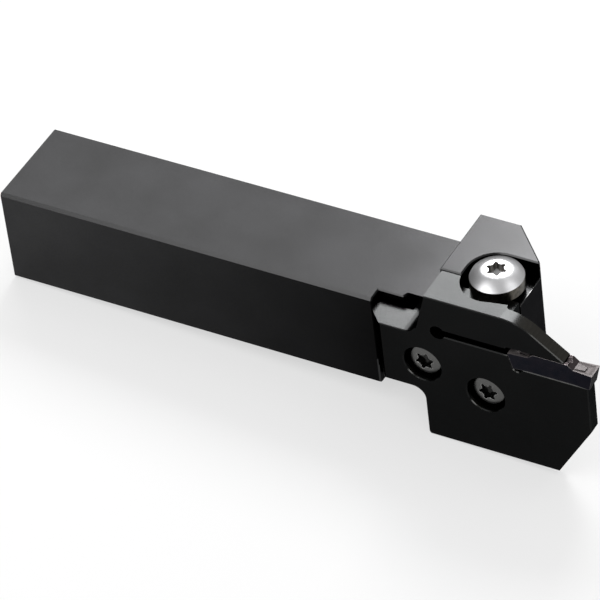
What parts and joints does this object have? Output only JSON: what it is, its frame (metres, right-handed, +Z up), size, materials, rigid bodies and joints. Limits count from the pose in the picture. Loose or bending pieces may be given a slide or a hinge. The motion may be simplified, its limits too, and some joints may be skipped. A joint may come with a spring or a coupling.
{
  "type": "grooving tool holder",
  "caption": "Square-shank lathe holder for external grooving, with a screwed-on blade and a double-ended insert clamped by a dome-headed screw.",
  "frame": {"origin": "centre of the shank's rear end face", "axes": "+X along the shank to the cutting edge, -Y towards the side that carries the blade, +Z up; the cutting edge is level with the shank's top"},
  "size_m": [0.15, 0.0294, 0.0422],
  "materials": {
    "black_oxide_steel": "black oxide, fine-milled, satin",
    "black_oxide_blade": "black oxide, ground, satin",
    "coated_carbide": "dark violet-brown vapour coating, fine satin",
    "bright_screw": "satin bright metal",
    "dark_screw": "blackened, satin"
  },
  "bodies": {
    "holder": {"holder": "black_oxide_steel", "blade": "black_oxide_blade", "insert": "coated_carbide"},
    "clamp_screw": {"clamp_screw": "bright_screw"},
    "blade_screw_rear": {"blade_screw_rear": "dark_screw"},
    "blade_screw_front": {"blade_screw_front": "dark_screw"}
  },
  "joints": [
    {"name": "clamp_screw_turn", "type": "hinge", "parent": "holder", "child": "clamp_screw", "pos_m": [0.12175, -0.004, 0.0187], "axis": [0, 0, 1], "range_deg": [0, 450]},
    {"name": "blade_screw_rear_turn", "type": "hinge", "parent": "holder", "child": "blade_screw_rear", "pos_m": [0.1083, -0.0124, 0.0015], "axis": [0, -1, 0], "range_deg": [0, 450]},
    {"name": "blade_screw_front_turn", "type": "hinge", "parent": "holder", "child": "blade_screw_front", "pos_m": [0.1234, -0.0124, -0.0023], "axis": [0, -1, 0], "range_deg": [0, 450]}
  ]
}
